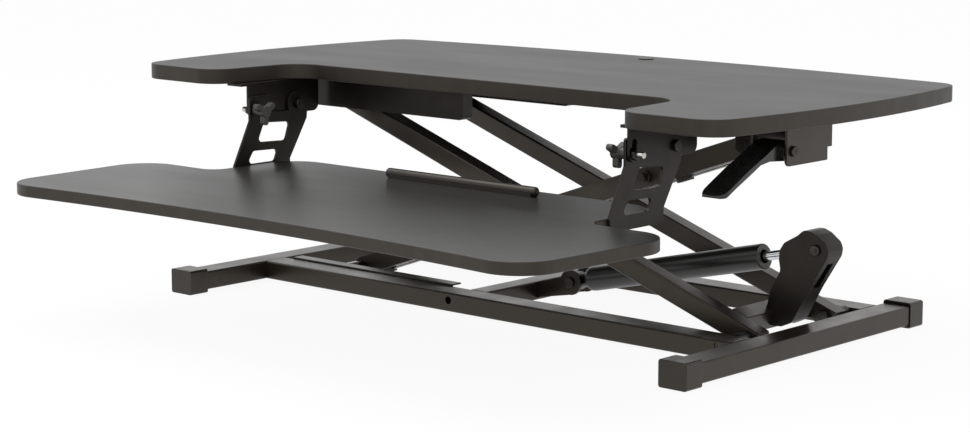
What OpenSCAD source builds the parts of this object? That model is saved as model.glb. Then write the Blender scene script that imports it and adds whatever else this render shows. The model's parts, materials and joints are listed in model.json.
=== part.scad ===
// Standing desk converter: two-tier board unit on a gas-sprung X lift.
// Units mm, +Z up, front of the unit toward -Y.
// X = 0 is the middle of the width, Z = 0 is the desk surface it stands on.

/* [Worktop] */
// Widest width of the worktop, across the bulge of its sides
worktop_width = 808; // [700:4:940]
// Depth of the worktop, front of the lobes to the rearmost point
worktop_depth = 427; // [380:1:500]
// Board thickness of the worktop
worktop_thickness = 16; // [12:1:25]
// How far each side bulges past its corners
side_bow = 20; // [0:1:30]
// How far the rear edge bulges past its corners
rear_bow = 24; // [0:1:40]
// Width of the keyboard cut-out at its mouth
cutout_width = 540; // [440:4:600]
// Depth of the keyboard cut-out
cutout_depth = 114; // [80:2:150]

/* [Keyboard tray] */
// Width of the tray across its front
tray_width = 700; // [600:4:780]
// Board thickness of the tray
tray_thickness = 12; // [9:1:18]
// Width of the narrow rear part of the tray, between the two arms
tongue_width = 506; // [430:2:560]
// Depth of the wide front part of the tray
wing_depth = 203; // [150:1:240]
// Depth of the narrow rear part behind the wings
tongue_depth = 116; // [80:1:140]
// Inward curve of the front edge at its middle
tray_bow = 20; // [0:1:40]
// Clear height between the tray top and the worktop underside
tray_drop = 86.6; // [80:0.2:110]
// Stock thickness of the hanger plates and tray arms
plate_t = 3; // [2:0.5:4]

/* [Base frame] */
// Width of the base across the end caps
base_width = 703; // [600:1:800]
// Depth of the base across the end caps
base_depth = 395; // [330:1:440]
// Width of the base tubes
tube_w = 30; // [25:1:40]
// Height of the base tubes
tube_h = 20; // [16:1:26]
// Wall of all the steel tubes
tube_wall = 1.6; // [1.2:0.2:2.5]
// Width of the end caps
cap_w = 32.4; // [31.4:0.2:36]
// Height of the end caps
cap_h = 26.4; // [24:0.2:32]
// Length of the end caps along the side tubes
cap_l = 24; // [18:1:35]

/* [Lift linkage] */
// Pivot-to-slide length of the crossed arms
arm_length = 573.4; // [520:0.2:620]
// Angle of the arms at the drawn height
arm_angle = 19.22; // [14:0.02:24]
// Square tube section of the arms
arm_s = 20; // [16:1:24]
// Outside distance between the two outer arms
arm_spread = 152; // [140:2:170]
// Distance of the lower fixed pivot from the unit's middle
pivot_x = 302.4; // [295:0.2:306]
// Height of the lower pivots over the desk
pivot_z = 18; // [17:0.5:20]
// Diameter of the lift pivot shafts
shaft_d = 12; // [10:1:14]
// Depth of the gap between a cross tube and its outer arm
rail_gap = 16.1; // [14:0.1:20]

/* [Gas spring] */
// Outside diameter of the gas spring cylinder
spring_d = 26; // [22:1:28]
// Diameter of the gas spring rod
rod_d = 9.4; // [8:0.2:11]
// Distance of the lower spring pin from the unit's middle
spring_x0 = 30.4; // [24:0.2:40]
// Height of the lower spring pin over the desk
spring_z0 = 28.3; // [24:0.1:32]
// How far the upper spring pin sits outside the lower arm pivot
lever_dx = 34.3; // [28:0.1:40]
// How far the upper spring pin sits above the lower arm pivot
lever_dz = 80.6; // [74:0.1:86]
// Diameter of the two spring pins
spring_pin_d = 8; // [6:0.5:10]

/* [Handle and clamps] */
// Width of the release paddle
paddle_w = 27; // [20:1:32]
// Thickness of the release paddle
paddle_t = 4; // [3:0.5:6]
// Diameter of the clamp studs and tray pivot bolts
stud_d = 6; // [5:0.5:8]

/* [Hidden] */
$fn = 48;

// ---- derived frame ----
tray_total = wing_depth + tongue_depth;
tray_lead = 220;                        // tray front ahead of the worktop front
tray_taper = 11;                        // wings are wider at the rear by this much a side
tray_round = 40;                        // radius of the outside corners of the tray
// rounding takes this much off the front corners of the tray
bow_m = 4 * tray_bow / tray_width;
taper_m = tray_taper / wing_depth;
corner_in = tray_round * ((sqrt(1 + bow_m * bow_m) + bow_m * sqrt(1 + taper_m * taper_m))
    / (1 + bow_m * taper_m) - 1);
span_y = worktop_depth + tray_lead - corner_in;     // whole depth of the unit
front_y = -span_y / 2 - corner_in;      // tray front, before its corners are rounded
top_front_y = front_y + tray_lead;      // worktop front
top_rear_y = span_y / 2;                // rearmost point of the worktop
base_mid_y = front_y + 424;
mech_y = front_y + 460.2;               // middle of the lift linkage
tube_z = (cap_h - tube_h) / 2;          // underside of the base tubes
tube_top = tube_z + tube_h;
side_x = base_width / 2 - cap_w / 2;    // middle of the side tubes
cross_in = arm_spread / 2 + rail_gap;   // cross tube inner face from mech_y
fit = 0.05;                             // running clearance on radius
gap = 0.3;                              // gap between faces that move past each other

slide_x = pivot_x - arm_length * cos(arm_angle);
upper_z = pivot_z + arm_length * sin(arm_angle);
mid_x = (pivot_x + slide_x) / 2;
mid_z = (pivot_z + upper_z) / 2;
under_z = upper_z + 25.9;               // worktop underside
worktop_top = under_z + worktop_thickness;
tray_top = under_z - tray_drop;
tray_z = tray_top - tray_thickness;

arm_out = arm_spread / 2;               // outer arm outside face from mech_y
arm_in = arm_out - arm_s;               // outer arm inside face from mech_y
inner_y = mech_y - arm_in + 3.3;        // front face of the inner arm
rail_wall = 1.8;
rail_w = rail_gap - 2;                  // depth of a slide rail
rail_h = 14;
slide_h = rail_h - 2 * rail_wall - 0.5;
slide_l = 26;
slide_pin_d = 7;
bolt_d = 7;                             // lower arm pivot bolts
side_gap = 2.9;                         // inner arm to the rear clevis plate
clevis_y = (mech_y - arm_out + 0.4 + inner_y + arm_s + side_gap + plate_t) / 2;

lever_x1 = pivot_x + lever_dx;
lever_z1 = pivot_z + lever_dz;
spring_dx = lever_x1 - spring_x0;
spring_dz = lever_z1 - spring_z0;
spring_len = sqrt(spring_dx * spring_dx + spring_dz * spring_dz);
spring_tilt = atan2(spring_dz, spring_dx);
bracket_w = 25;                         // lever bracket across its cheeks
bracket_t = 2.5;
clevis_w = 22;

hang_x = tongue_width / 2 + 0.3;        // tray arm inside face
plate_x = hang_x + plate_t + gap;       // hanger plate inside face
tilt_y = front_y + tray_total + 6.7;    // tray pivot, Y and Z
tilt_z = under_z - 27;
stud_y = tilt_y - 62;
stud_z = tilt_z - 2.2;
tilt_max = 10;

hinge_x = worktop_width / 2 - 20;       // outer face of the lever bracket
hinge_y = top_front_y + 119;
hinge_z = under_z - 22.7;

// ---- helpers ----
module at_y(y0, len) { translate([0, y0 + len, 0]) rotate([90, 0, 0]) linear_extrude(len) children(); }
module at_x(x0, len) { translate([x0, 0, 0]) rotate([90, 0, 90]) linear_extrude(len) children(); }
module rod_y(x, z, y0, y1, d) { translate([x, y0, z]) rotate([-90, 0, 0]) cylinder(h = y1 - y0, d = d); }
module rod_x(y, z, x0, x1, d) { translate([x0, y, z]) rotate([0, 90, 0]) cylinder(h = x1 - x0, d = d); }
module soft(r) { offset(r) offset(-r) children(); }
module inner_soft(r) { offset(-r) offset(r) children(); }
module box_section(w, h, r, wall) {
    difference() {
        soft(r, $fn = 16) square([w, h], center = true);
        square([w - 2 * wall, h - 2 * wall], center = true);
    }
}
module hex_y(x, z, y0, y1, af) {
    translate([x, y0, z]) rotate([-90, 0, 0]) cylinder(h = y1 - y0, d = af / cos(30), $fn = 6);
}
module hex_x(y, z, x0, x1, af) {
    translate([x0, y, z]) rotate([0, 90, 0]) cylinder(h = x1 - x0, d = af / cos(30), $fn = 6);
}
function back(y) = 2 * mech_y - y;      // mirror of a Y position across the linkage

// ---- base ----
module side_tube(s) {
    color("dimgray") translate([s * side_x, base_mid_y, tube_z + tube_h / 2]) rotate([90, 0, 0])
        linear_extrude(base_depth - 5, center = true) box_section(tube_w, tube_h, 2, tube_wall);
}
module base_side_tube_left() { side_tube(-1); }
module base_side_tube_right() { side_tube(1); }

cross_len = 2 * side_x - tube_w;        // between the side tubes
module cross_tube(y_mid, face_y, inner) {
    difference() {
        translate([0, y_mid, tube_z + tube_h / 2]) rotate([90, 0, 90])
            linear_extrude(cross_len, center = true) box_section(tube_w, tube_h, 2, tube_wall);
        rod_y(pivot_x, pivot_z, y_mid - tube_w, y_mid + tube_w, bolt_d);
        rod_y(-44, tube_z + 12, face_y - 3, face_y + 3, 8);
    }
}
front_tube_y = mech_y - cross_in - tube_w / 2;
rear_tube_y = mech_y + cross_in + tube_w / 2;
module base_front_cross_tube() { color("dimgray") cross_tube(front_tube_y, front_tube_y - tube_w / 2); }
module base_rear_cross_tube() { color("dimgray") cross_tube(rear_tube_y, rear_tube_y + tube_w / 2); }

module base_centre_tube() {
    color("dimgray") translate([-28, mech_y, tube_z + tube_h / 2]) rotate([90, 0, 0])
        linear_extrude(2 * cross_in, center = true) box_section(24, tube_h, 2, tube_wall);
}

module end_cap(sx, sy) {
    y_out = base_mid_y + sy * base_depth / 2;
    color("black") translate([sx * side_x, y_out - sy * cap_l / 2, cap_h / 2])
        difference() {
            rotate([90, 0, 0]) linear_extrude(cap_l, center = true)
                soft(2.5, $fn = 16) square([cap_w, cap_h], center = true);
            translate([0, -sy * 2.5, 0]) cube([tube_w, cap_l, tube_h], center = true);
        }
}
module end_cap_front_left() { end_cap(-1, -1); }
module end_cap_front_right() { end_cap(1, -1); }
module end_cap_rear_left() { end_cap(-1, 1); }
module end_cap_rear_right() { end_cap(1, 1); }

// C-section slide rail: open side toward the linkage
rail_x0 = -cross_len / 2 + 12;
rail_x1 = -66;
upper_x1 = -50;                         // inboard end of the upper rails
module rail_profile() {
    difference() {
        square([rail_w, rail_h]);
        translate([rail_wall, rail_wall]) square([rail_w, rail_h - 2 * rail_wall]);
    }
}
module lower_rail() {
    translate([0, mech_y - cross_in, pivot_z - rail_h / 2])
        at_x(rail_x0, rail_x1 - rail_x0) rail_profile();
}
module lower_rail_front() { color("gray") lower_rail(); }
module lower_rail_rear() { color("gray") translate([0, 2 * mech_y, 0]) mirror([0, 1, 0]) lower_rail(); }

// bolt through cross tube, spacer and outer arm
module pivot_bolt() {
    y_face = mech_y - cross_in;
    rod_y(pivot_x, pivot_z, y_face, mech_y - arm_out - gap, 14);
    rod_y(pivot_x, pivot_z, y_face - tube_w + 0.8, mech_y - arm_in + 4, bolt_d);
    hex_y(pivot_x, pivot_z, mech_y - arm_in + gap, mech_y - arm_in + 5, 13);
}
module outer_pivot_bolt_front() { color("silver") pivot_bolt(); }
module outer_pivot_bolt_rear() {
    color("silver") translate([0, 2 * mech_y, 0]) mirror([0, 1, 0]) pivot_bolt();
}

// two-cheek clevis on the side of the centre tube
module spring_base_bracket() {
    x0 = -16;
    color("dimgray") difference() {
        union() {
            for (s = [-1, 1]) translate([0, mech_y + s * (clevis_w / 2 + 1.5) - 1.5, 0]) at_y(0, 3) union() {
                translate([spring_x0, spring_z0]) circle(13.5);
                polygon([[x0, tube_z + 3], [x0, tube_top], [spring_x0, spring_z0 + 8],
                    [spring_x0, spring_z0 - 13.4]]);
            }
            translate([x0, mech_y - clevis_w / 2 - 3, tube_z + 3]) cube([3, clevis_w + 6, tube_h - 3]);
        }
        rod_y(spring_x0, spring_z0, mech_y - 30, mech_y + 30, spring_pin_d + 0.02);
    }
}
module spring_base_pin() {
    y0 = mech_y - clevis_w / 2 - 3;
    y1 = mech_y + clevis_w / 2 + 3;
    color("silver") union() {
        rod_y(spring_x0, spring_z0, y0 - 2, y1 + 2, spring_pin_d);
        rod_y(spring_x0, spring_z0, y0 - 3, y0, spring_pin_d + 3);
        rod_y(spring_x0, spring_z0, y1, y1 + 2, spring_pin_d + 3);
    }
}

// ---- outer arms ----
// arm frame: origin on the lower pivot, +u along the arm toward the slide end
module on_outer() { translate([pivot_x, 0, pivot_z]) rotate([0, arm_angle - 180, 0]) children(); }
module arm_body(y0) {
    difference() {
        on_outer() translate([-11, y0, -arm_s / 2]) difference() {
            cube([arm_length + 22, arm_s, arm_s]);
            translate([4, tube_wall, tube_wall])
                cube([arm_length + 14, arm_s - 2 * tube_wall, arm_s - 2 * tube_wall]);
        }
        rod_y(pivot_x, pivot_z, y0 - 1, y0 + arm_s + 1, bolt_d + 2 * fit);
        rod_y(mid_x, mid_z, y0 - 1, y0 + arm_s + 1, shaft_d);
        rod_y(slide_x, upper_z, y0 - 1, y0 + arm_s + 1, slide_pin_d + 2 * fit);
    }
}
module outer_arm_front() { color("dimgray") arm_body(mech_y - arm_out); }
module outer_arm_rear() { color("dimgray") arm_body(mech_y + arm_in); }

cross_u = 26.5;                           // cross tube distance up the arm from the pivot
module cross_square(grow) {
    on_outer() translate([cross_u - arm_s / 2 - grow, mech_y - arm_in, -arm_s / 2 - grow])
        cube([arm_s + 2 * grow, 2 * arm_in, arm_s + 2 * grow]);
}
module outer_arm_cross_tube() {
    color("dimgray") difference() {
        cross_square(0);
        on_outer() translate([cross_u - arm_s / 2 + tube_wall, mech_y - arm_in - 1, -arm_s / 2 + tube_wall])
            cube([arm_s - 2 * tube_wall, 2 * arm_in + 2, arm_s - 2 * tube_wall]);
    }
}

// lever bracket: outline measured from the lower arm pivot
lever_outline = [[-24, 14], [-20.5, 21], [-19.5, 27.7], [-17.3, 34.9], [-5.9, 56.1], [-8, 66], [-7.5, 75.7],
    [-2, 84], [13.2, 92.5], [20, 98.4], [28, 98.6], [36, 95.5], [47, 87.5], [49.5, 81], [48.2, 74],
    [27.2, 40.7], [8.5, 6], [-4, 0.5], [-18, 0], [-24, 6]];
module lever_shape() { soft(7, $fn = 32) inner_soft(8, $fn = 32) polygon(lever_outline); }
module spring_lever_bracket() {
    half = bracket_w / 2;
    color("dimgray") difference() {
        translate([pivot_x, mech_y, pivot_z]) union() {
            for (s = [-1, 1]) at_y(s * (half - bracket_t / 2) - bracket_t / 2, bracket_t) lever_shape();
            at_y(-half + bracket_t, bracket_w - 2 * bracket_t) intersection() {
                difference() { lever_shape(); offset(delta = -bracket_t) lever_shape(); }
                polygon([[2, -4], [18, 28], [40, 62], [38, 82], [20, 92], [16, 110], [70, 110], [70, -4]]);
            }
        }
        cross_square(0);
        rod_y(lever_x1, lever_z1, mech_y - 30, mech_y + 30, spring_pin_d);
        // slot through the web
        translate([pivot_x + 36, mech_y, pivot_z + 54]) rotate([0, 32, 0]) cube([16, 10, 30], center = true);
    }
}
module spring_lever_pin() {
    half = bracket_w / 2;
    color("silver") union() {
        rod_y(lever_x1, lever_z1, mech_y - half - 1, mech_y + half + 1, spring_pin_d);
        rod_y(lever_x1, lever_z1, mech_y - half - 2.5, mech_y - half, spring_pin_d + 3);
        rod_y(lever_x1, lever_z1, mech_y + half, mech_y + half + 2.5, spring_pin_d + 3);
    }
}
module centre_pivot_shaft() {
    y0 = mech_y - arm_out;
    color("silver") union() {
        rod_y(mid_x, mid_z, y0 - 2.5, back(y0) + 2.5, shaft_d);
        rod_y(mid_x, mid_z, y0 - 2.5, y0, shaft_d + 5);
        rod_y(mid_x, mid_z, back(y0), back(y0) + 2.5, shaft_d + 5);
    }
}

// ---- inner arm ----
module on_inner() { translate([slide_x, 0, pivot_z]) rotate([0, -arm_angle, 0]) children(); }
module inner_arm() {
    color("dimgray") difference() {
        on_inner() difference() {
            union() {
                translate([0, inner_y, -arm_s / 2]) cube([arm_length + 11, arm_s, arm_s]);
                rod_y(0, 0, inner_y, inner_y + arm_s, arm_s);
            }
            translate([10, inner_y + tube_wall, -arm_s / 2 + tube_wall])
                cube([arm_length - 3, arm_s - 2 * tube_wall, arm_s - 2 * tube_wall]);
        }
        rod_y(slide_x, pivot_z, inner_y - 1, inner_y + arm_s + 1, shaft_d);
        rod_y(mid_x, mid_z, inner_y - 1, inner_y + arm_s + 1, shaft_d + 2 * fit);
        rod_y(pivot_x, upper_z, inner_y - 1, inner_y + arm_s + 1, shaft_d);
    }
}
shaft_y0 = mech_y - arm_out - 1;
module upper_pivot_shaft() {
    color("silver") rod_y(pivot_x, upper_z, shaft_y0, 2 * clevis_y - shaft_y0, shaft_d);
}
module lower_slide_shaft() {
    y_end = mech_y - cross_in + rail_wall + 1.4;
    color("silver") union() {
        rod_y(slide_x, pivot_z, shaft_y0 + 2, back(shaft_y0 + 2), shaft_d);
        rod_y(slide_x, pivot_z, y_end, back(y_end), slide_pin_d);
    }
}
module inner_arm_stud() {
    color("black") on_inner() union() {
        rod_y(424, 0, inner_y - 9, inner_y, 7);
        hex_y(424, 0, inner_y - 4, inner_y, 12);
        rod_y(424, 0, inner_y - 11, inner_y - 7, 10);
    }
}
cable_d = 2.4;
cable_y = inner_y + arm_s - 4;
clip_u = [24, 458];
module release_cable() {
    color("silver") on_inner() translate([8, cable_y, -arm_s / 2 - cable_d / 2 - 0.4])
        rotate([0, 90, 0]) cylinder(h = arm_length - 24, d = cable_d);
}
module cable_clip(u) {
    color("black") on_inner() difference() {
        translate([u - 8, cable_y - 4, -arm_s / 2 - cable_d - 2.2]) cube([16, 8, cable_d + 2.2]);
        translate([u - 9, cable_y, -arm_s / 2 - cable_d / 2 - 0.4]) rotate([0, 90, 0])
            cylinder(h = 18, d = cable_d);
    }
}
module cable_clip_lower() { cable_clip(clip_u[0]); }
module cable_clip_upper() { cable_clip(clip_u[1]); }

// ---- slide blocks ----
slide_y0 = mech_y - cross_in + rail_wall + gap;
module slide_block(z, pin) {
    color("black") difference() {
        union() {
            translate([slide_x - slide_l / 2, slide_y0, z - slide_h / 2])
                cube([slide_l, rail_w - rail_wall + 0.6, slide_h]);
            if (pin) {
                rod_y(slide_x, z, slide_y0 + 4, mech_y - arm_in + 4, slide_pin_d);
                hex_y(slide_x, z, mech_y - arm_in + gap, mech_y - arm_in + 4.5, 11);
            }
        }
        if (!pin) rod_y(slide_x, z, slide_y0 - 1, slide_y0 + 20, slide_pin_d + 2 * fit);
    }
}
module lower_slide_front() { slide_block(pivot_z, false); }
module lower_slide_rear() { translate([0, 2 * mech_y, 0]) mirror([0, 1, 0]) slide_block(pivot_z, false); }
module upper_slide_front() { slide_block(upper_z, true); }
module upper_slide_rear() { translate([0, 2 * mech_y, 0]) mirror([0, 1, 0]) slide_block(upper_z, true); }

// ---- gas spring ----
module on_spring() { translate([spring_x0, mech_y, spring_z0]) rotate([0, -spring_tilt, 0]) children(); }
barrel_end = spring_len - 70;
bore_d = spring_d - 5;
module gas_spring_cylinder() {
    color("black") on_spring() difference() {
        union() {
            rod_y(0, 0, -clevis_w / 2 + gap, clevis_w / 2 - gap, 19);
            rotate([0, 90, 0]) cylinder(h = 19, d = 15);
            translate([17, 0, 0]) rotate([0, 90, 0]) cylinder(h = barrel_end - 17, d = spring_d);
        }
        rod_y(0, 0, -clevis_w, clevis_w, spring_pin_d + 2 * fit);
        translate([30, 0, 0]) rotate([0, 90, 0]) cylinder(h = barrel_end - 36, d = bore_d);
        translate([30, 0, 0]) rotate([0, 90, 0]) cylinder(h = barrel_end, d = rod_d + 4.6);
    }
}
module gas_spring_rod() {
    color("silver") on_spring() difference() {
        union() {
            translate([spring_len - 140, 0, 0]) rotate([0, 90, 0]) cylinder(h = 136, d = rod_d);
            translate([spring_len - 148, 0, 0]) rotate([0, 90, 0]) cylinder(h = 10, d = bore_d - 4.6);
            translate([spring_len - 16, 0, 0]) rotate([0, 90, 0]) cylinder(h = 12, d = rod_d + 3);
            rod_y(spring_len, 0, -8, 8, 17);
        }
        rod_y(spring_len, 0, -12, 12, spring_pin_d + 2 * fit);
    }
}

// ---- worktop ----
// flat outline of the board, built from straight edges and bulges
hw = worktop_width / 2 - side_bow;
hc = cutout_width / 2;
bow_n = 20;
function arc_y(x, half, y, b) = y + b * (1 - (x / half) * (x / half));
module worktop_outline() {
    y0 = top_front_y;
    yr = top_rear_y - rear_bow;
    mid = (y0 + yr) / 2;
    hd = (yr - y0) / 2;
    right = [for (i = [0 : bow_n]) let (y = y0 + 2 * hd * i / bow_n)
        [hw + side_bow * (1 - pow((y - mid) / hd, 2)), y]];
    rear = [for (i = [0 : bow_n]) let (x = hw - 2 * hw * i / bow_n) [x, arc_y(x, hw, yr, rear_bow)]];
    left = [for (i = [0 : bow_n]) let (y = yr - 2 * hd * i / bow_n)
        [-hw - side_bow * (1 - pow((y - mid) / hd, 2)), y]];
    soft(30) inner_soft(34) difference() {
        polygon(concat(right, rear, left));
        polygon([[-hc, y0 - 1], [hc, y0 - 1], [hc - 9, y0 + cutout_depth], [-hc + 9, y0 + cutout_depth]]);
    }
}
module worktop_board() {
    color("dimgray") translate([0, 0, under_z]) difference() {
        linear_extrude(worktop_thickness) worktop_outline();
        translate([grommet_x, top_rear_y - 27, worktop_thickness - 3]) cylinder(h = 4, d = 14);
    }
}
grommet_x = -8;
module grommet_cap() {
    color("black") translate([grommet_x, top_rear_y - 27, worktop_top - 3]) union() {
        cylinder(h = 4, d = 14);
        translate([0, 0, 3]) cylinder(h = 1.2, d = 17);
    }
}

upper_drop = 25.9;                      // upper pivots under the worktop
rail_round = 6;
// side of an upper rail, its lower inboard corner rounded
module rail_side() {
    z0 = upper_z - rail_h / 2;
    hull() {
        translate([upper_x1 - rail_round, z0 + rail_round]) circle(rail_round);
        translate([rail_x0 + 16, z0]) square([20, under_z - z0]);
        translate([upper_x1 - 20, under_z - 10]) square([20, 10]);
    }
}
module upper_rail() {
    y0 = mech_y - cross_in;
    color("dimgray") union() {
        at_y(y0, rail_wall) rail_side();
        at_y(y0, rail_w) difference() { rail_side(); offset(delta = -rail_wall) rail_side(); }
        translate([rail_x0 + 16, y0, upper_z + rail_h / 2 - rail_wall])
            cube([upper_x1 - rail_x0 - 16, rail_w, rail_wall]);
    }
}
module upper_rail_front() { upper_rail(); }
module upper_rail_rear() { translate([0, 2 * mech_y, 0]) mirror([0, 1, 0]) upper_rail(); }

module pivot_bracket() {
    y0 = mech_y - arm_out + 0.4;
    color("dimgray") difference() {
        union() {
            at_y(y0, plate_t) soft(6, $fn = 24) translate([pivot_x - 17, upper_z - 12])
                square([34, 12 + upper_drop + 6]);
            translate([pivot_x - 30, y0, under_z - 3]) cube([60, 22, 3]);
        }
        rod_y(pivot_x, upper_z, y0 - 5, y0 + 10, shaft_d + 2 * fit);
        translate([pivot_x - 40, y0 - 5, under_z]) cube([80, 40, 20]);
    }
}
module upper_pivot_bracket_front() { pivot_bracket(); }
module upper_pivot_bracket_rear() { translate([0, 2 * clevis_y, 0]) mirror([0, 1, 0]) pivot_bracket(); }

// ---- release lever ----
lever_in = hinge_x - 41;                // inner face of the inner bracket plate
lever_x0 = hinge_x - 34;
module lever_plate(x0) {
    difference() {
        at_x(x0, 3) difference() {
            soft(5, $fn = 24) translate([hinge_y - 9.5, under_z - 36.2]) square([72.5, 36.2 + 12]);
            translate([hinge_y - 20, under_z]) square([100, 20]);
            translate([hinge_y + 56, under_z - 40]) square([20, 16]);
        }
        rod_x(hinge_y, hinge_z, x0 - 1, x0 + 4, stud_d);
    }
}
module lever_bracket() {
    color("dimgray") union() {
        lever_plate(hinge_x - 3);
        lever_plate(lever_in);
        translate([lever_in, hinge_y - 5, under_z - 3]) cube([hinge_x - lever_in, 66, 3]);
        translate([lever_in + 2, hinge_y + 57, under_z - 22]) cube([hinge_x - lever_in - 4, 3, 21]);
    }
}
module lever_pin() {
    color("silver") union() {
        rod_x(hinge_y, hinge_z, lever_in - 2, hinge_x + 2, stud_d);
        rod_x(hinge_y, hinge_z, hinge_x, hinge_x + 3, stud_d + 4);
        rod_x(hinge_y, hinge_z, lever_in - 3, lever_in, stud_d + 4);
    }
}
module release_lever() {
    w = paddle_w;
    t = paddle_t;
    color("black") difference() {
        union() {
            at_x(lever_x0, w) translate([hinge_y, hinge_z]) soft(1.5, $fn = 16) polygon([
                [6, 7], [-8, 9], [-20, 4.5], [-30, -0.5], [-57.9, -12.5], [-78, -22.5 - (4 - t)],
                [-91.9, -29.5], [-98, -31.5], [-97, -34], [-91, -33.8], [-79, -27.5 - (t - 4)],
                [-57, -17.5 - (t - 4)],
                [-40, -9.5], [-26, -7.5], [0, -9.5], [6, -7]]);
            rod_x(hinge_y, hinge_z, lever_x0, lever_x0 + w + 3, 19);
        }
        rod_x(hinge_y, hinge_z, lever_x0 - 1, lever_x0 + w + 5, stud_d + 2 * fit);
    }
}
module lever_spring() {
    x0 = lever_in + 3.2;
    color("silver") for (i = [0 : 2]) translate([x0 + 0.7 + i * 1.1, hinge_y, hinge_z]) rotate([0, 90, 0])
        rotate_extrude() translate([stud_d / 2 + 0.85, 0]) circle(d = 1.4, $fn = 16);
}

// ---- tray hangers, arms and tray ----
// drawn for the right side, mirrored for the left
module on_side(s) { if (s > 0) children(); else mirror([1, 0, 0]) children(); }
module hanger() {
    difference() {
        union() {
            at_x(plate_x, plate_t) soft(8, $fn = 24) translate([tilt_y - 69, under_z - 37]) square([103, 60]);
            translate([plate_x, tilt_y - 79, under_z - plate_t]) cube([22, 119, plate_t]);
        }
        translate([plate_x - 1, tilt_y - 100, under_z]) cube([40, 200, 40]);
        rod_x(tilt_y, tilt_z, plate_x - 1, plate_x + plate_t + 1, stud_d);
        // arc slot for the clamp stud
        for (a = [0 : tilt_max / 4 : tilt_max])
            translate([0, tilt_y, tilt_z]) rotate([-a, 0, 0]) translate([0, -tilt_y, -tilt_z])
                rod_x(stud_y, stud_z, plate_x - 1, plate_x + plate_t + 1, stud_d + 1.4);
    }
}
module tray_hanger_left() { color("dimgray") on_side(-1) hanger(); }
module tray_hanger_right() { color("dimgray") on_side(1) hanger(); }

arm_bottom = tray_z - 0.9;
foot_y = tilt_y - 93.1;
ear_front = stud_y - 8;                 // front edge of the ear that carries the clamp
ear_top = tilt_z + 13;
module arm_outline() {
    difference() {
        union() {
            soft(2.5, $fn = 16) polygon([[foot_y, tray_top], [foot_y + 3, arm_bottom],
                [tilt_y - 12.5, arm_bottom], [tilt_y - 12.5, tray_top + 1.5],
                [tilt_y + 13, tilt_z - 16.2], [tilt_y + 14, tilt_z - 6],
                [tilt_y - 12, tilt_z - 6], [stud_y + 25, tilt_z - 6], [stud_y + 25, ear_top],
                [ear_front, ear_top], [ear_front, tilt_z - 13]]);
            translate([tilt_y, tilt_z]) circle(14.5);
            translate([tilt_y - 8, tilt_z - 14]) square([18, 10]);
        }
        soft(4, $fn = 20) polygon([[tilt_y - 50, tilt_z - 16.2], [tilt_y - 12.2, tilt_z - 18.2],
            [tilt_y - 19, tilt_z - 38], [tilt_y - 59.5, tilt_z - 36.4]]);
        soft(4, $fn = 20) polygon([[tilt_y - 65.9, tray_top + 14.4], [tilt_y - 30, tray_top + 13.4],
            [tilt_y - 35, tray_top + 0.8], [tilt_y - 75, tray_top + 0.8]]);
    }
}
module tray_arm() {
    difference() {
        union() {
            at_x(hang_x, plate_t) arm_outline();
            // seats that stand against the side of the tongue
            for (y = [tilt_y - 70, tilt_y - 36])
                rod_x(y, tray_z + tray_thickness / 2, hang_x - 0.3, hang_x + 1, 8);
        }
        rod_x(tilt_y, tilt_z, hang_x - 1, hang_x + plate_t + 1, stud_d + 2 * fit);
        rod_x(stud_y, stud_z, hang_x - 1, hang_x + plate_t + 1, stud_d + 2 * fit);
    }
}
module tray_arm_left() { color("dimgray") on_side(-1) tray_arm(); }
module tray_arm_right() { color("dimgray") on_side(1) tray_arm(); }

module tilt_bolt() {
    union() {
        rod_x(tilt_y, tilt_z, hang_x - 2, plate_x + plate_t + 3, stud_d);
        rod_x(tilt_y, tilt_z, hang_x - 4.5, hang_x - gap, stud_d + 5);
        hex_x(tilt_y, tilt_z, plate_x + plate_t, plate_x + plate_t + 4, 10);
    }
}
module tray_pivot_bolt_left() { color("silver") on_side(-1) tilt_bolt(); }
module tray_pivot_bolt_right() { color("silver") on_side(1) tilt_bolt(); }

module clamp_knob() {
    union() {
        rod_x(stud_y, stud_z, hang_x - 12, plate_x + plate_t + 12, stud_d);
        rod_x(stud_y, stud_z, hang_x - 9, hang_x - gap, 11);
        rod_x(stud_y, stud_z, hang_x - 18, hang_x - 8, 12);
        for (a = [30, 150, 270]) translate([0, stud_y, stud_z]) rotate([a, 0, 0])
            translate([hang_x - 17, 5, 0]) rotate([0, 90, 0]) linear_extrude(7)
                soft(2.9, $fn = 20) translate([-3.1, -4]) square([6.2, 13.5]);
        hex_x(stud_y, stud_z, plate_x + plate_t + gap, plate_x + plate_t + 4.5, 10);
    }
}
module clamp_knob_left() { color("black") on_side(-1) clamp_knob(); }
module clamp_knob_right() { color("black") on_side(1) clamp_knob(); }

module tray_board() {
    hf = tray_width / 2;
    ht = tongue_width / 2;
    front = [for (i = [0 : bow_n]) let (x = -hf + 2 * hf * i / bow_n) [x, arc_y(x, hf, front_y, tray_bow)]];
    color("dimgray") translate([0, 0, tray_z]) linear_extrude(tray_thickness)
        inner_soft(18) soft(tray_round) polygon(concat(front, [
            [hf + tray_taper, front_y + wing_depth], [ht, front_y + wing_depth],
            [ht, front_y + tray_total], [-ht, front_y + tray_total],
            [-ht, front_y + wing_depth], [-hf - tray_taper, front_y + wing_depth]]));
}
stop_x = 19;
stop_l = 203;
module tray_stop_bar() {
    y = front_y + tray_total - 30;
    color("black") translate([stop_x, y, tray_top]) union() {
        translate([-stop_l / 2 + 5, -5, 0]) cube([stop_l - 10, 10, 5]);
        translate([-stop_l / 2, 0, 5]) rotate([0, 90, 0]) cylinder(h = stop_l, d = 10);
    }
}

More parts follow.
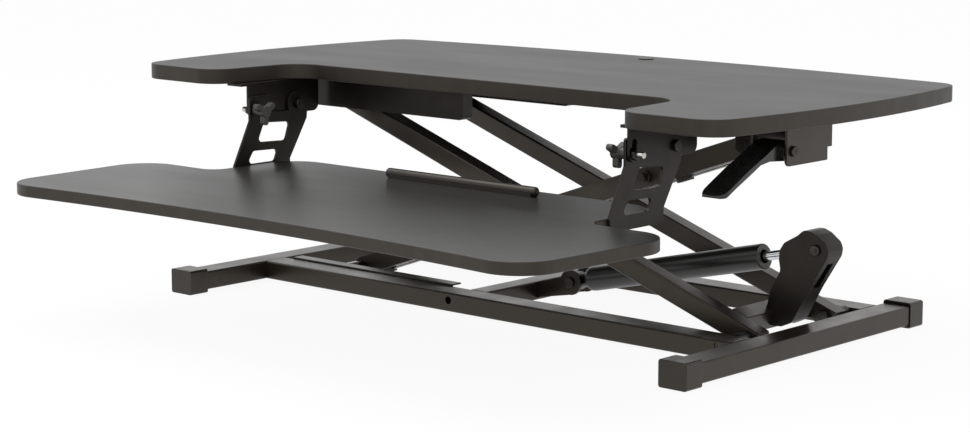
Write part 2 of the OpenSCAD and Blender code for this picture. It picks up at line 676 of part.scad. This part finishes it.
base_side_tube_left();
base_side_tube_right();
base_front_cross_tube();
base_rear_cross_tube();
base_centre_tube();
end_cap_front_left();
end_cap_front_right();
end_cap_rear_left();
end_cap_rear_right();
lower_rail_front();
lower_rail_rear();
outer_pivot_bolt_front();
outer_pivot_bolt_rear();
spring_base_bracket();
spring_base_pin();
outer_arm_front();
outer_arm_rear();
outer_arm_cross_tube();
spring_lever_bracket();
spring_lever_pin();
centre_pivot_shaft();
inner_arm();
upper_pivot_shaft();
lower_slide_shaft();
inner_arm_stud();
release_cable();
cable_clip_upper();
cable_clip_lower();
lower_slide_front();
lower_slide_rear();
upper_slide_front();
upper_slide_rear();
gas_spring_cylinder();
gas_spring_rod();
worktop_board();
grommet_cap();
upper_rail_front();
upper_rail_rear();
upper_pivot_bracket_front();
upper_pivot_bracket_rear();
lever_bracket();
lever_pin();
release_lever();
lever_spring();
tray_hanger_left();
tray_hanger_right();
tray_board();
tray_arm_left();
tray_arm_right();
tray_stop_bar();
tray_pivot_bolt_left();
tray_pivot_bolt_right();
clamp_knob_left();
clamp_knob_right();
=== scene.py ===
import json
import math

import bmesh
import bpy
from mathutils import Matrix, Vector


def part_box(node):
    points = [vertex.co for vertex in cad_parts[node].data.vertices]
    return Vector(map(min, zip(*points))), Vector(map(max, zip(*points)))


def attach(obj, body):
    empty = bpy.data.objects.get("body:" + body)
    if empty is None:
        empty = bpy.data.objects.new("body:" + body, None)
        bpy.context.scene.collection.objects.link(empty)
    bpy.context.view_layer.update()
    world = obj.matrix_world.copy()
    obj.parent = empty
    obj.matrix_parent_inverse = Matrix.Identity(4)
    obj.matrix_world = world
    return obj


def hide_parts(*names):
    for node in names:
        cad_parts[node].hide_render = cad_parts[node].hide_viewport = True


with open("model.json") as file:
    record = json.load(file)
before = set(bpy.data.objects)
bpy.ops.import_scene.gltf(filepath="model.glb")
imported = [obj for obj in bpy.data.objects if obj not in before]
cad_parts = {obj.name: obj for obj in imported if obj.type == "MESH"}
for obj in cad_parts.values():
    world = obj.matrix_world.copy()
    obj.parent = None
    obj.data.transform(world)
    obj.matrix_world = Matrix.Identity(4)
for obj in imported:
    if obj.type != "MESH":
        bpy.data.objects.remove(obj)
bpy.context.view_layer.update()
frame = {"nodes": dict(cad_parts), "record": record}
record = frame["record"]
bodyOf = {node: body for body, nodes in record["behaviour"]["bodies"].items() for node in nodes}
pivotOf = {joint["name"]: Vector(joint["pos_m"]) for joint in record["behaviour"]["joints"]}
mm = 0.001
print("frame loaded")

# camera: stands right of the front, a little above the worktop
viewer = {"place": (1.6330, -1.7891, 0.5045), "tilt": 81.233, "turn": 42.069, "lens": 89.59,
          "shift": (0.0004, -0.0208)}
eye = bpy.data.cameras.new("viewerCamera")
eye.lens = viewer["lens"]
eye.sensor_width = 36
eye.shift_x, eye.shift_y = viewer["shift"]
eye.clip_end = 200
eyeObject = bpy.data.objects.new("viewerCamera", eye)
eyeObject.location = viewer["place"]
eyeObject.rotation_euler = (math.radians(viewer["tilt"]), 0, math.radians(viewer["turn"]))
bpy.context.scene.collection.objects.link(eyeObject)
bpy.context.scene.camera = eyeObject
bpy.context.scene.view_settings.view_transform = "Standard"


def srgb(code):
    parts = [int(code[i:i + 2], 16) / 255 for i in (1, 3, 5)]
    return [p / 12.92 if p <= 0.04045 else ((p + 0.055) / 1.055) ** 2.4 for p in parts] + [1]


def addNode(tree, kind, values=None, links=None, **settings):
    made = tree.nodes.new(kind)
    for key, value in settings.items():
        setattr(made, key, value)
    for key, value in (values or {}).items():
        made.inputs[key].default_value = value
    for key, source in (links or {}).items():
        tree.links.new(source, made.inputs[key])
    return made


def startFinish(name, **values):
    finish = bpy.data.materials.new(name)
    finish.use_nodes = True
    tree = finish.node_tree
    shader = tree.nodes["Principled BSDF"]
    for key, value in values.items():
        shader.inputs[key.replace("_", " ")].default_value = value
    place = addNode(tree, "ShaderNodeTexCoord").outputs["Object"]
    return finish, tree, shader, place


def mottle(tree, place, grain, detail, low, high, stretch=(1, 1, 1)):
    # noise with its lumps about grain millimetres across, remapped to low..high
    spread = addNode(tree, "ShaderNodeMapping", {"Scale": stretch}, {"Vector": place})
    noise = addNode(tree, "ShaderNodeTexNoise", {"Scale": 1 / (grain * mm), "Detail": detail, "Roughness": 0.55},
                    {"Vector": spread.outputs[0]})
    return addNode(tree, "ShaderNodeMapRange", {"From Min": 0.3, "From Max": 0.7, "To Min": low, "To Max": high},
                   {"Value": noise.outputs["Fac"]}).outputs[0]


def twoTone(tree, shader, factor, dark, light):
    blend = addNode(tree, "ShaderNodeMix", data_type="RGBA")
    blend.inputs[6].default_value = srgb(dark)
    blend.inputs[7].default_value = srgb(light)
    tree.links.new(factor, blend.inputs[0])
    tree.links.new(blend.outputs[2], shader.inputs["Base Color"])


def relief(tree, shader, height, depth, strength):
    bump = addNode(tree, "ShaderNodeBump", {"Distance": depth * mm, "Strength": strength}, {"Height": height})
    tree.links.new(bump.outputs[0], shader.inputs["Normal"])


# faint brown cast in the highlights of paint, edge band and mouldings
warmGloss = srgb("#fff3e4")

# powder-coated mild steel: sprayed dry and baked, so an even satin black with a slight orange peel
coat = {"dark": "#17130e", "light": "#1f1a14", "roughness": (0.27, 0.36), "peel": 1.6, "depth": 0.05}
powderCoat, tree, shader, place = startFinish("powderCoatedSteel", IOR=1.5, Specular_Tint=warmGloss)
twoTone(tree, shader, mottle(tree, place, 45, 3, 0, 1), coat["dark"], coat["light"])
tree.links.new(mottle(tree, place, 30, 4, *coat["roughness"]), shader.inputs["Roughness"])
relief(tree, shader, mottle(tree, place, coat["peel"], 2, 0, 1), coat["depth"], 0.35)

# darker black coat on the pressed brackets, rails, hangers and tray arms: painted shade, blacker than the tubes to
# stand in for the shade under the boards, with almost no shine
paintedShadeLook = {"dark": "#0c0a08", "light": "#13100d", "roughness": (0.30, 0.42), "peel": 1.2}
paintedShadeCoat, tree, shader, place = startFinish("paintedShadeSteel", IOR=1.38, Specular_Tint=warmGloss)
twoTone(tree, shader, mottle(tree, place, 25, 3, 0, 1), paintedShadeLook["dark"], paintedShadeLook["light"])
tree.links.new(mottle(tree, place, 20, 4, *paintedShadeLook["roughness"]), shader.inputs["Roughness"])
relief(tree, shader, mottle(tree, place, paintedShadeLook["peel"], 2, 0, 1), 0.04, 0.3)

# melamine laminate: printed paper pressed in resin, a dark grey with faint grain along the board;
# the worktop is set duller, the tray smoother, so the tray picks up more of the room
film = {"worktop_board": {"dark": "#1f1e1d", "light": "#262524", "roughness": (0.43, 0.48), "ior": 1.46},
        "tray_board": {"dark": "#201f1e", "light": "#272624", "roughness": (0.34, 0.39), "ior": 1.5}}
board = {"grain": 9, "pore": 0.9, "cloud": 60}
laminate = {}
for node, look in film.items():
    laminate[node], tree, shader, place = startFinish("melamineLaminate_" + node, IOR=look["ior"])
    twoTone(tree, shader, mottle(tree, place, board["grain"], 6, 0, 1, (0.16, 1, 1)), look["dark"], look["light"])
    tree.links.new(mottle(tree, place, board["cloud"], 4, *look["roughness"], (0.3, 1, 1)),
                   shader.inputs["Roughness"])
    relief(tree, shader, mottle(tree, place, board["pore"], 2, 0, 1, (0.3, 1, 1)), 0.03, 0.25)

# PVC edge band: glued round the board, a shade browner and duller than the laminate
band = {"dark": "#1a1815", "light": "#211e1a", "roughness": (0.40, 0.50)}
edgeBand, tree, shader, place = startFinish("pvcEdgeBand", IOR=1.48, Specular_Tint=warmGloss)
twoTone(tree, shader, mottle(tree, place, 14, 4, 0, 1, (1, 1, 0.3)), band["dark"], band["light"])
tree.links.new(mottle(tree, place, 20, 3, *band["roughness"]), shader.inputs["Roughness"])
relief(tree, shader, mottle(tree, place, 1.1, 2, 0, 1), 0.03, 0.25)

# moulded nylon: spark-eroded mould skin, so a fine even grain and soft highlights
nylon = {"dark": "#151412", "light": "#1c1a18", "roughness": (0.26, 0.36), "grain": 0.9}
mouldedNylon, tree, shader, place = startFinish("mouldedNylon", IOR=1.5, Specular_Tint=warmGloss)
twoTone(tree, shader, mottle(tree, place, 18, 3, 0, 1), nylon["dark"], nylon["light"])
tree.links.new(mottle(tree, place, 12, 3, *nylon["roughness"]), shader.inputs["Roughness"])
relief(tree, shader, mottle(tree, place, nylon["grain"], 2, 0, 1), 0.04, 0.45)

# ABS handle: polished mould, near black and shiny where the thumb pulls
gloss = {"dark": "#0d0d0c", "light": "#141312", "roughness": (0.20, 0.28)}
polishedAbs, tree, shader, place = startFinish("polishedAbs", IOR=1.53)
twoTone(tree, shader, mottle(tree, place, 25, 2, 0, 1), gloss["dark"], gloss["light"])
tree.links.new(mottle(tree, place, 15, 3, *gloss["roughness"]), shader.inputs["Roughness"])

# stove-enamelled tube of the gas spring: wet sprayed, so glossier than the powder coat
enamel = {"dark": "#0b0a08", "light": "#11100d", "roughness": (0.30, 0.36)}
stoveEnamel, tree, shader, place = startFinish("stoveEnamel", IOR=1.52)
twoTone(tree, shader, mottle(tree, place, 30, 2, 0, 1), enamel["dark"], enamel["light"])
tree.links.new(mottle(tree, place, 45, 1, *enamel["roughness"]), shader.inputs["Roughness"])

# hard chrome: ground and plated rod, mirror bright with faint grinding rings
hardChrome, tree, shader, place = startFinish("hardChrome", Metallic=1.0)
twoTone(tree, shader, mottle(tree, place, 8, 2, 0, 1), "#c6c8ca", "#d6d8da")
tree.links.new(mottle(tree, place, 0.5, 2, 0.10, 0.18), shader.inputs["Roughness"])

# black zinc plate on bolts, pins and shafts: dull metal with a cloudy passivated skin
blackZinc, tree, shader, place = startFinish("blackZinc", Metallic=1.0)
twoTone(tree, shader, mottle(tree, place, 4, 4, 0, 1), "#34332f", "#4b4945")
tree.links.new(mottle(tree, place, 3, 3, 0.30, 0.46), shader.inputs["Roughness"])

# bright zinc on the clamp studs: clear passivated, almost silver
brightZinc, tree, shader, place = startFinish("brightZinc", Metallic=1.0)
twoTone(tree, shader, mottle(tree, place, 3, 4, 0, 1), "#b9b8b2", "#d2d1cc")
tree.links.new(mottle(tree, place, 2, 3, 0.22, 0.34), shader.inputs["Roughness"])

# cast grey nylon of the wing knobs, lighter than the other mouldings
castGrey, tree, shader, place = startFinish("castGreyNylon", IOR=1.53)
twoTone(tree, shader, mottle(tree, place, 6, 3, 0, 1), "#35342f", "#403e39")
tree.links.new(mottle(tree, place, 6, 3, 0.40, 0.52), shader.inputs["Roughness"])
relief(tree, shader, mottle(tree, place, 0.8, 2, 0, 1), 0.03, 0.4)

# galvanised wire rope of the release cable: bright steel with the lay of its strands
wireRope, tree, shader, place = startFinish("galvanisedWireRope", Metallic=1.0)
twoTone(tree, shader, mottle(tree, place, 1.2, 2, 0, 1), "#8c8b88", "#b4b3af")
tree.links.new(mottle(tree, place, 1.0, 2, 0.30, 0.45), shader.inputs["Roughness"])
relief(tree, shader, mottle(tree, place, 0.9, 2, 0, 1), 0.15, 0.6)
print("finishes made")


def closeShape(node, shape, finishes):
    # turns a bmesh into the visible piece that stands for a CAD node and rides with its body
    for edge in shape.edges:  # edges sharper than 38 degrees stay crisp
        edge.smooth = len(edge.link_faces) != 2 or edge.calc_face_angle(0) < math.radians(38)
    for face in shape.faces:
        face.smooth = True
    name = node + "_piece"
    mesh = bpy.data.meshes.new(name)
    shape.to_mesh(mesh)
    shape.free()
    for finish in finishes:
        mesh.materials.append(finish)
    made = bpy.data.objects.new(name, mesh)
    bpy.context.scene.collection.objects.link(made)
    weigh = made.modifiers.new("flatFacesStayFlat", "WEIGHTED_NORMAL")
    weigh.keep_sharp = True
    weigh.weight = 80
    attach(made, bodyOf[node])
    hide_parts(node)


def easedShape(node, width, steps, pick=None):
    # merged copy of a CAD node with its outer corners rounded by width millimetres
    shape = bmesh.new()
    shape.from_mesh(frame["nodes"][node].data)
    bmesh.ops.remove_doubles(shape, verts=shape.verts, dist=0.002 * mm)
    bmesh.ops.dissolve_limit(shape, angle_limit=math.radians(0.4), verts=shape.verts, edges=shape.edges)
    chosen = [e for e in shape.edges if len(e.link_faces) == 2 and e.is_convex
              and e.calc_face_angle(0) > math.radians(40) and (pick is None or pick(e))]
    if chosen and width > 0:
        bmesh.ops.bevel(shape, geom=chosen, offset=width * mm, offset_type="OFFSET", affect="EDGES", segments=steps,
                        profile=0.5, material=-1, clamp_overlap=True, harden_normals=False)
    return shape


# how each plain steel or plastic piece is finished: corner radius in mm, steps, finish
eased = {
    "base_side_tube_left": (0.3, 2, powderCoat), "base_side_tube_right": (0.3, 2, powderCoat),
    "base_front_cross_tube": (0.3, 2, powderCoat), "base_rear_cross_tube": (0.3, 2, powderCoat),
    "base_centre_tube": (0.3, 2, powderCoat),
    "end_cap_front_left": (1.3, 4, mouldedNylon), "end_cap_front_right": (1.3, 4, mouldedNylon),
    "end_cap_rear_left": (1.3, 4, mouldedNylon), "end_cap_rear_right": (1.3, 4, mouldedNylon),
    "lower_rail_front": (0.5, 3, powderCoat), "lower_rail_rear": (0.5, 3, powderCoat),
    "outer_pivot_bolt_front": (0.5, 2, blackZinc), "outer_pivot_bolt_rear": (0.5, 2, blackZinc),
    "spring_base_bracket": (0.6, 3, powderCoat), "spring_base_pin": (0.7, 3, blackZinc),
    "outer_arm_cross_tube": (1.2, 4, powderCoat),
    "spring_lever_pin": (0.9, 3, blackZinc),
    "centre_pivot_shaft": (0.8, 3, blackZinc), "upper_pivot_shaft": (0.8, 3, blackZinc),
    "lower_slide_shaft": (0.6, 3, blackZinc), "inner_arm_stud": (0.6, 3, mouldedNylon),
    "cable_clip_upper": (0.6, 3, mouldedNylon), "cable_clip_lower": (0.6, 3, mouldedNylon),
    "lower_slide_front": (0.8, 3, mouldedNylon), "lower_slide_rear": (0.8, 3, mouldedNylon),
    "upper_slide_front": (0.8, 3, mouldedNylon), "upper_slide_rear": (0.8, 3, mouldedNylon),
    "upper_pivot_bracket_front": (0.5, 3, powderCoat), "upper_pivot_bracket_rear": (0.5, 3, powderCoat),
    # rails, hangers and tray arms take the darker coat of painted shade
    "upper_rail_front": (0.5, 3, paintedShadeCoat), "upper_rail_rear": (0.5, 3, paintedShadeCoat),
    "lever_bracket": (0.6, 3, powderCoat), "lever_pin": (0.8, 3, blackZinc),
    "tray_hanger_left": (0.5, 3, paintedShadeCoat), "tray_hanger_right": (0.5, 3, paintedShadeCoat),
    "tray_arm_left": (0.45, 3, paintedShadeCoat), "tray_arm_right": (0.45, 3, paintedShadeCoat),
    "tray_pivot_bolt_left": (0.5, 3, blackZinc), "tray_pivot_bolt_right": (0.5, 3, blackZinc),
    "grommet_cap": (0.5, 3, castGrey),
}
for node, (width, steps, finish) in eased.items():
    closeShape(node, easedShape(node, width, steps), [finish])
print("plain pieces eased:", len(eased))

# lift arms: folded square tube, so only the four long outer corners are rounded
armLook = {"corner": 2.2, "steps": 5}
for node in ("outer_arm_front", "outer_arm_rear", "inner_arm"):
    low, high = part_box(node)
    longEdge = lambda e: e.calc_length() > 0.3 and (min(v.co.y for v in e.verts) > high.y - 0.4 * mm
                                                    or max(v.co.y for v in e.verts) < low.y + 0.4 * mm)
    closeShape(node, easedShape(node, armLook["corner"], armLook["steps"], longEdge), [powderCoat])

# spring lever bracket: one folded plate, so the bends between web and cheeks are round
foldLook = {"bend": 3.2, "steps": 6, "edge": 18}
low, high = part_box("spring_lever_bracket")
folded = lambda e: e.calc_length() > foldLook["edge"] * mm and (
    min(v.co.y for v in e.verts) > high.y - 0.1 * mm or max(v.co.y for v in e.verts) < low.y + 0.1 * mm) and any(
    abs(f.normal.y) < 0.2 and f.calc_area() > 200 * mm * mm for f in e.link_faces)
# the bracket takes the darker coat of painted shade
closeShape("spring_lever_bracket", easedShape("spring_lever_bracket", foldLook["bend"], foldLook["steps"], folded),
           [paintedShadeCoat])

# boards: laminate on the faces, a separate band round the edge
boardLook = {"worktop_board": 1.3, "tray_board": 1.1}
for node, radius in boardLook.items():
    shape = easedShape(node, radius, 4)
    for face in shape.faces:
        face.material_index = 0 if abs(face.normal.z) > 0.72 else 1
    closeShape(node, shape, [laminate[node], edgeBand])
print("boards made")


def spunShape(profile, steps=64):
    # profile of (along, radius) in mm, turned about the X axis
    shape = bmesh.new()
    ring = [shape.verts.new((a * mm, 0, r * mm)) for a, r in profile]
    line = [shape.edges.new(pair) for pair in zip(ring, ring[1:])]
    bmesh.ops.spin(shape, geom=ring + line, cent=(0, 0, 0), axis=(1, 0, 0), angle=2 * math.pi, steps=steps,
                   use_merge=True)
    bmesh.ops.remove_doubles(shape, verts=shape.verts, dist=0.005 * mm)
    bmesh.ops.recalc_face_normals(shape, faces=shape.faces)
    return shape


def addTo(target, part):
    holder = bpy.data.meshes.new("holder")
    part.to_mesh(holder)
    part.free()
    target.from_mesh(holder)
    bpy.data.meshes.remove(holder)


springBase, springTop = pivotOf["spring_base_pivot"], pivotOf["spring_rod_pivot"]
springLine = springTop - springBase
springLength = springLine.length / mm
springPlace = Matrix.Translation(springBase) @ Matrix.Rotation(-math.atan2(springLine.z, springLine.x), 4, "Y")

# gas spring: rolled-over tube end, stepped neck and turned eye
cylinderLook = {"radius": 13, "end": springLength - 70}
end, rad = cylinderLook["end"], cylinderLook["radius"]
tube = spunShape([(end - 30, 7), (end - 2.6, 7), (end - 2.3, 6.8), (end - 0.3, 6.8), (end, 7.1), (end, 11.9),
                  (end - 0.15, 12.4), (end - 0.6, 12.8), (end - 1.4, rad), (24, rad), (20.6, rad - 0.35),
                  (18.2, rad - 1.6), (17, rad - 3.6), (17, 7.5), (3, 7.5)], 72)
for face in tube.faces:
    face.material_index = 1 if face.normal.x > 0.9 and face.calc_center_median().x > (end - 3) * mm else 0
hub = spunShape([(-10.7, 4.05), (-10.7, 8.9), (-10.1, 9.5), (10.1, 9.5), (10.7, 8.9), (10.7, 4.05),
                 (-10.7, 4.05)], 56)
bmesh.ops.rotate(hub, cent=(0, 0, 0), matrix=Matrix.Rotation(math.radians(90), 3, "Z"), verts=hub.verts)
addTo(tube, hub)
bmesh.ops.transform(tube, matrix=springPlace, verts=tube.verts)
closeShape("gas_spring_cylinder", tube, [stoveEnamel, castGrey])

far = springLength
rod = spunShape([(far - 150, 0), (far - 150, 4.7), (far - 17, 4.7), (far - 17, 5.6), (far - 16.4, 6.2),
                 (far - 9, 6.2), (far - 8.4, 5.6), (far - 6, 5.6), (far - 6, 0)], 56)
knuckle = spunShape([(-8, 4.05), (-8, 7.9), (-7.4, 8.5), (7.4, 8.5), (8, 7.9), (8, 4.05), (-8, 4.05)], 48)
bmesh.ops.rotate(knuckle, cent=(0, 0, 0), matrix=Matrix.Rotation(math.radians(90), 3, "Z"), verts=knuckle.verts)
bmesh.ops.translate(knuckle, vec=(far * mm, 0, 0), verts=knuckle.verts)
for face in knuckle.faces:
    face.material_index = 1
addTo(rod, knuckle)
bmesh.ops.transform(rod, matrix=springPlace, verts=rod.verts)
closeShape("gas_spring_rod", rod, [hardChrome, blackZinc])
print("gas spring made")

# release cable: one straight wire along the underside of the inner arm
closeShape("release_cable", easedShape("release_cable", 0.3, 2), [wireRope])
# handle spring: its coils are round already, so no corner is eased
closeShape("lever_spring", easedShape("lever_spring", 0, 1), [blackZinc])

# tray stop: round bar on a low rib, with domed ends
barLook = {"dome": 3.4, "steps": 6}
low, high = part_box("tray_stop_bar")
barEnd = lambda e: (all(v.co.x < low.x + 0.1 * mm for v in e.verts)
                    or all(v.co.x > high.x - 0.1 * mm for v in e.verts))
closeShape("tray_stop_bar", easedShape("tray_stop_bar", barLook["dome"], barLook["steps"], barEnd), [mouldedNylon])

# wing knobs: moulded head, black nut and the bright tip of the stud
knobLook = {"edge": 0.7, "head": 17.6, "tip": 7.4}
for node in ("clamp_knob_left", "clamp_knob_right"):
    low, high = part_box(node)
    inner, tip = min(abs(low.x), abs(high.x)), max(abs(low.x), abs(high.x))
    shape = easedShape(node, knobLook["edge"], 3)
    for face in shape.faces:
        away = abs(face.calc_center_median().x) - inner
        face.material_index = (0 if away < knobLook["head"] * mm
                               else 1 if inner + away < tip - knobLook["tip"] * mm else 2)
    closeShape(node, shape, [castGrey, blackZinc, brightZinc])

# release handle: curved paddle with rolled edges, dished on top for the fingers, on a round hub
handleLook = {"width": 27, "reach": 72, "start": 26, "tip": 12, "tipWidth": 0.45, "edge": 1.1, "steps": 5,
              "dish": 1.4, "fade": 18, "tipFade": 8, "rim": 0.86, "across": 8, "along": 14, "tipCuts": 9}
low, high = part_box("release_lever")
hinge = pivotOf["release_pull"]
xLow, xHigh = low.x, low.x + handleLook["width"] * mm
paddle = easedShape("release_lever", handleLook["edge"], handleLook["steps"])
across = [(xLow + (xHigh - xLow) * i / handleLook["across"], 0, 0) for i in range(1, handleLook["across"])]
along = [(0, hinge.y - (handleLook["start"] + handleLook["reach"] * i / handleLook["along"]) * mm, 0)
         for i in range(handleLook["along"])]
nearTip = [(0, low.y + handleLook["tip"] * (i / handleLook["tipCuts"]) ** 2 * mm, 0)
           for i in range(1, handleLook["tipCuts"])]
for cut, facing in [(c, (1, 0, 0)) for c in across] + [(c, (0, 1, 0)) for c in along + nearTip]:
    bmesh.ops.bisect_plane(paddle, geom=paddle.verts[:] + paddle.edges[:] + paddle.faces[:], dist=0.001 * mm,
                           plane_co=cut, plane_no=facing)
paddle.normal_update()
for vert in paddle.verts:
    out = (hinge.y - handleLook["start"] * mm - vert.co.y) / (handleLook["fade"] * mm)
    tip = (vert.co.y - low.y) / (handleLook["tipFade"] * mm)
    side = (2 * (vert.co.x - xLow) / (xHigh - xLow) - 1) / handleLook["rim"]
    if out > 0 and tip > 0 and abs(side) < 1 and vert.normal.z > 0.6:
        vert.co.z -= handleLook["dish"] * mm * (1 - side * side) * min(1, out) * min(1, tip)
# the tip is rounded in plan, down to tipWidth of the paddle at its very end
middle = (xLow + xHigh) / 2
for vert in paddle.verts:
    left = (vert.co.y - low.y) / (handleLook["tip"] * mm)
    if left < 1:
        vert.co.x = middle + (vert.co.x - middle) * (
            handleLook["tipWidth"] + (1 - handleLook["tipWidth"]) * math.sqrt(max(0, 1 - (1 - left) ** 2)))
# downward faces of the paddle more than 60 mm from the hinge take the lighter grey: painted light, standing in for
# the lit strip under the black paddle
for face in paddle.faces:
    face.material_index = 1 if face.normal.z < -0.3 and face.calc_center_median().y < hinge.y - 60 * mm else 0
closeShape("release_lever", paddle, [polishedAbs, castGrey])
print("release handle made")

# lights and floor
studio = {"sky": 0.85, "floor": "#f4f4f4", "floorGlow": 0.93, "floorRadius": 60, "floorDrop": 0.3}
world = bpy.data.worlds.new("studioSky")
bpy.context.scene.world = world
world.use_nodes = True
tree = world.node_tree
tree.nodes.clear()
path = addNode(tree, "ShaderNodeLightPath")
seen = addNode(tree, "ShaderNodeMath", None, {0: path.outputs["Is Camera Ray"], 1: path.outputs["Is Glossy Ray"]},
               operation="MAXIMUM")
seen = addNode(tree, "ShaderNodeMath", None, {0: seen.outputs[0], 1: path.outputs["Is Transmission Ray"]},
               operation="MAXIMUM")
plain = addNode(tree, "ShaderNodeBackground", {"Color": srgb("#ffffff"), "Strength": studio["sky"]})
shown = addNode(tree, "ShaderNodeBackground", {"Color": srgb("#ffffff"), "Strength": 1})
pick = addNode(tree, "ShaderNodeMixShader", None, {0: seen.outputs[0], 1: plain.outputs[0], 2: shown.outputs[0]})
addNode(tree, "ShaderNodeOutputWorld", None, {"Surface": pick.outputs[0]})

shape = bmesh.new()
bmesh.ops.create_circle(shape, cap_ends=True, segments=96, radius=studio["floorRadius"])
bmesh.ops.translate(shape, vec=(0, 0, -studio["floorDrop"] * mm), verts=shape.verts)
mesh = bpy.data.meshes.new("studioFloor")
shape.to_mesh(mesh)
shape.free()
floor = bpy.data.objects.new("studioFloor", mesh)
bpy.context.scene.collection.objects.link(floor)
paper = bpy.data.materials.new("whitePaper")
paper.use_nodes = True
tree = paper.node_tree
tree.nodes.clear()
path = addNode(tree, "ShaderNodeLightPath")
seen = addNode(tree, "ShaderNodeMath", None, {0: path.outputs["Is Camera Ray"], 1: path.outputs["Is Glossy Ray"]},
               operation="MAXIMUM")
seen = addNode(tree, "ShaderNodeMath", None, {0: seen.outputs[0], 1: path.outputs["Is Transmission Ray"]},
               operation="MAXIMUM")
share = addNode(tree, "ShaderNodeMath", {1: studio["floorGlow"]}, {0: seen.outputs[0]}, operation="MULTIPLY")
matt = addNode(tree, "ShaderNodeBsdfDiffuse", {"Color": srgb(studio["floor"])})
glow = addNode(tree, "ShaderNodeEmission", {"Color": srgb("#ffffff"), "Strength": 1})
both = addNode(tree, "ShaderNodeMixShader", None, {0: share.outputs[0], 1: matt.outputs[0], 2: glow.outputs[0]})
addNode(tree, "ShaderNodeOutputMaterial", None, {"Surface": both.outputs[0]})
mesh.materials.append(paper)

lamps = {"overhead": ((-0.9, -0.6, 2.4), 2.4, 30), "frontFill": ((1.9, -2.6, 1.6), 1.8, 12)}
for name, (spot, size, power) in lamps.items():
    light = bpy.data.lights.new(name, "AREA")
    light.shape = "DISK"
    light.size = size
    light.energy = power
    lamp = bpy.data.objects.new(name, light)
    lamp.location = spot
    lamp.rotation_euler = (Vector((0, 0, 0.15)) - Vector(spot)).to_track_quat("-Z", "Y").to_euler()
    bpy.context.scene.collection.objects.link(lamp)
print("studio set")
